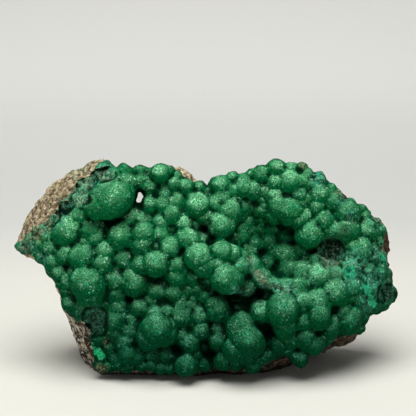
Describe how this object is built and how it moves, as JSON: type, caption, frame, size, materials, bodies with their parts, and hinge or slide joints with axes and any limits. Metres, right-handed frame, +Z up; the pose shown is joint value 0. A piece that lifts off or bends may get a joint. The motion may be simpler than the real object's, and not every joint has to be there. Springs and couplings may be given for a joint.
{
  "type": "mineral specimen",
  "caption": "Botryoidal green malachite crust of packed rounded lumps on a broken slab of brown host rock, standing on its flat underside as a display specimen.",
  "frame": {"origin": "centre of the specimen's box, at the height of its flat underside", "axes": "+X along the specimen's length with the display side's left end at -X, +Y from the display side towards the back, +Z up"},
  "size_m": [0.1322, 0.0486, 0.0721],
  "materials": {
    "host_rock": "rough broken granular brown rock",
    "malachite": "velvety fine crystalline green"
  },
  "bodies": {
    "root": {"host_rock": "host_rock", "malachite_crust": "malachite"}
  },
  "joints": []
}
